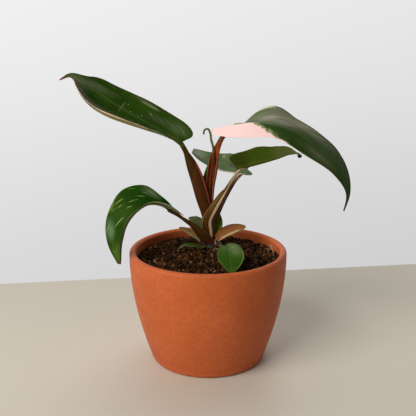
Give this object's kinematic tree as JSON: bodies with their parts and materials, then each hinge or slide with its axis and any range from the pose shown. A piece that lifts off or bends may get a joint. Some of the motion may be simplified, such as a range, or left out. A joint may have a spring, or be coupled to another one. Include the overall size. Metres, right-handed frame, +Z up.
{
  "type": "potted philodendron",
  "caption": "Young philodendron with pointed, pink-marked leaves on sheathed stalks, growing from potting soil in a round tapered terracotta pot.",
  "frame": {"origin": "centre of the pot's flat foot, on the pot's axis", "axes": "+Z up along the pot's axis; +X towards the long drooping leaf, the right side as seen from the front; +Y towards the back, away from the small leaf that leans over the front of the soil"},
  "size_m": [0.2399, 0.1388, 0.2365],
  "materials": {
    "terracotta": "unglazed fired clay, smooth and matt",
    "potting_soil": "loose dark crumbs of moist soil with bark flecks",
    "crown": "short rough stem, reddish brown",
    "leaf": "waxy, softly glossy leaf with pink and cream variegation",
    "leaf_stalk": "satin olive brown to dark red leaf stalk and sheath",
    "young_shoot": "satin green rolled young leaf",
    "bud_scale": "dry pinkish brown bud scale with a green edge"
  },
  "bodies": {
    "root": {"pot": "terracotta", "soil": "potting_soil", "crown_stem": "crown", "upper_left_leaf": "leaf", "upper_right_leaf": "leaf", "right_leaf": "leaf", "back_leaf": "leaf", "lower_left_leaf": "leaf", "front_small_leaf": "leaf", "back_small_leaf": "leaf", "upright_small_leaf": "leaf", "low_strip_leaf": "leaf", "upper_left_stalk": "leaf_stalk", "upper_right_stalk": "leaf_stalk", "right_stalk": "leaf_stalk", "lower_left_stalk": "leaf_stalk", "back_stalk": "leaf_stalk", "back_small_stalk": "leaf_stalk", "front_small_stalk": "leaf_stalk", "back_shoot": "young_shoot", "new_leaf_roll": "young_shoot", "right_bud_scale": "bud_scale", "left_bud_scale": "bud_scale"}
  },
  "joints": []
}
